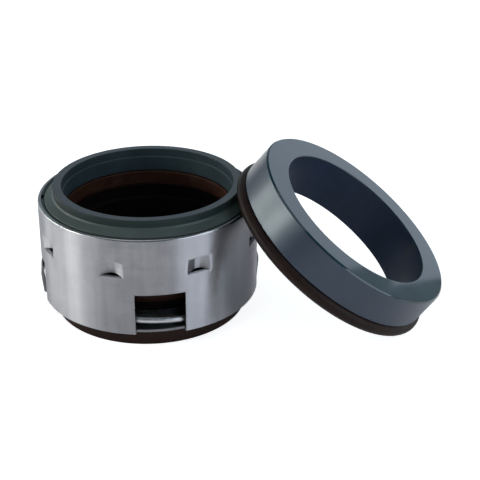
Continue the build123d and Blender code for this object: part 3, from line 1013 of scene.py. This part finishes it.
# White paper: it takes shadows, and shows white to the camera and in what mirrors it.
# Close to the object, what mirrors it sees it in the object's own shade.
def floorPaper(s):
    material, tree = newMaterial("whitePaper")[:2]
    path = addNode(tree, "ShaderNodeLightPath").outputs
    shade = addNode(tree, "ShaderNodeAmbientOcclusion", {"samples": 4}, {"Distance": s["shadeReach"] * mm})
    seen = addNode(tree, "ShaderNodeMath", {"operation": "MAXIMUM"},
                   {0: path["Is Camera Ray"], 1: path["Is Transmission Ray"]})
    deeper = addNode(tree, "ShaderNodeMath", {"operation": "POWER"},
                     {0: shade.outputs["AO"], 1: s["shadeDepth"]})
    shaded = addNode(tree, "ShaderNodeMath", {"operation": "MULTIPLY"}, {0: path["Is Glossy Ray"], 1: deeper})
    seen = addNode(tree, "ShaderNodeMath", {"operation": "MAXIMUM"}, {0: seen, 1: shaded})
    strength = addNode(tree, "ShaderNodeMath", {"operation": "MULTIPLY"}, {0: seen, 1: s["paperGlow"]})
    glow = addNode(tree, "ShaderNodeEmission", None, {"Strength": strength})
    paper = addNode(tree, "ShaderNodeBsdfDiffuse", None, {"Color": [s["paperColour"]] * 3 + [1]})
    both = addNode(tree, "ShaderNodeAddShader", None, {0: paper, 1: glow})
    addNode(tree, "ShaderNodeOutputMaterial", None, {"Surface": both})
    return material


def makeFloor(s):
    reach = s["floorReach"] * mm
    corners = [(-reach, -reach, 0), (reach, -reach, 0), (reach, reach, 0), (-reach, reach, 0)]
    mesh = bpy.data.meshes.new("studioFloor")
    mesh.from_pydata(corners, [], [(0, 1, 2, 3)])
    mesh.materials.append(floorPaper(s))
    floor = bpy.data.objects.new("studioFloor", mesh)
    bpy.context.scene.collection.objects.link(floor)
    return floor


# The room is a pale wall behind the object, dimmer at the camera's side and overhead,
# and lights the object little.
def studioRoom(s):
    world = bpy.data.worlds.new("studioRoom")
    world.use_nodes = True
    tree = world.node_tree
    tree.nodes.clear()
    path = addNode(tree, "ShaderNodeLightPath").outputs
    seen = addNode(tree, "ShaderNodeMath", {"operation": "MAXIMUM"},
                   {0: path["Is Camera Ray"], 1: path["Is Transmission Ray"]})
    seen = addNode(tree, "ShaderNodeMath", {"operation": "MAXIMUM"}, {0: seen, 1: path["Is Glossy Ray"]})
    direction = addNode(tree, "ShaderNodeTexCoord").outputs["Generated"]
    towards = addNode(tree, "ShaderNodeSeparateXYZ", None, {0: direction}).outputs
    around = addNode(tree, "ShaderNodeMapRange", {"interpolation_type": "SMOOTHSTEP"},
                     {"Value": towards["Y"], "From Min": s["roomEnd"], "From Max": s["roomStart"],
                      "To Min": s["roomGlow"], "To Max": s["wallGlow"]})
    wallTop, topStart = (math.sin(math.radians(s[key])) for key in ("wallTop", "topStart"))
    wall = addNode(tree, "ShaderNodeMapRange", {"interpolation_type": "SMOOTHSTEP"},
                   {"Value": towards["Z"], "From Min": wallTop, "From Max": topStart,
                    "To Min": around, "To Max": s["topGlow"]})
    strength = addNode(tree, "ShaderNodeMapRange", None,
                       {"Value": seen, "To Min": s["roomLight"], "To Max": wall})
    glow = addNode(tree, "ShaderNodeBackground", None,
                   {"Color": fromHex(s["wallColour"]), "Strength": strength})
    addNode(tree, "ShaderNodeOutputWorld", None, {"Surface": glow})
    return world


floor = makeFloor(studioSizes)
bpy.context.scene.world = studioRoom(studioSizes)
print("floor laid and room made")


# Soft boxes round the object. A heading is in degrees from the camera's side to the
# right, rise is the angle above the floor, and wide and tall are angles too, as seen
# from the object. Brightness 1 shows as white.
softBoxes = {
    "leftBackBox": {
        "heading": -132, "rise": 14, "wide": 18, "tall": 8, "away": 700,
        "brightness": 1.6, "colour": "#ffffff",
    },
    "leftBox": {
        "heading": -106.5, "rise": 15, "wide": 33, "tall": 6.5, "away": 700,
        "brightness": 10.6, "colour": "#fdfff6",
    },
    "leftNarrowBox": {
        "heading": -82.5, "rise": 15, "wide": 15, "tall": 9, "away": 700,
        "brightness": 14.2, "colour": "#fdfff6",
    },
    "leftFrontBox": {
        "heading": -66, "rise": 15, "wide": 18, "tall": 9, "away": 700,
        "brightness": 4.0, "colour": "#ffffff",
    },
    "frontRightBox": {
        "heading": 50, "rise": 19, "wide": 50, "tall": 30, "away": 650,
        "brightness": 2.9, "colour": "#e3f1ff",
    },
    "highRightBox": {
        "heading": 71, "rise": 52, "wide": 8, "tall": 20, "away": 700,
        "brightness": 4.0, "colour": "#ffffff",
    },
    "rightStrip": {
        "heading": 106, "rise": 3, "wide": 74, "tall": 5.6, "away": 900,
        "brightness": 0.6, "colour": "#ffffff",
    },
    "backRightBox": {
        "heading": 151.3, "rise": 15, "wide": 25.5, "tall": 23, "away": 1100,
        "brightness": 0.8, "colour": "#e1ebff",
    },
    "backLowBox": {
        "heading": 137.7, "rise": 5.5, "wide": 1.7, "tall": 6, "away": 1100,
        "brightness": 0.8, "colour": "#e1ebff",
    },
    "topBox": {
        "heading": -60, "rise": 74, "wide": 44, "tall": 44, "away": 700,
        "brightness": 0.8, "colour": "#ffffff",
    },
}
softBoxCentre = Vector((40, -15, 25))


def softBox(name, s):
    heading, rise = math.radians(s["heading"]), math.radians(s["rise"])
    level = math.cos(rise)
    outwards = Vector((math.sin(heading) * level, -math.cos(heading) * level, math.sin(rise)))
    light = bpy.data.lights.new(name, "AREA")
    light.shape = "RECTANGLE"
    light.size = 2 * math.tan(math.radians(s["wide"] / 2)) * s["away"] * mm
    light.size_y = 2 * math.tan(math.radians(s["tall"] / 2)) * s["away"] * mm
    light.energy = s["brightness"] * math.pi * light.size * light.size_y
    light.color = fromHex(s["colour"])[:3]
    lamp = bpy.data.objects.new(name, light)
    lamp.location = (softBoxCentre + outwards * s["away"]) * mm
    lamp.rotation_euler = (-outwards).to_track_quat("-Z", "Y").to_euler()
    lamp.visible_camera = False
    bpy.context.scene.collection.objects.link(lamp)


for boxName, boxSizes in softBoxes.items():
    softBox(boxName, boxSizes)
bpy.context.scene.view_settings.view_transform = "Standard"
print("studio lit")
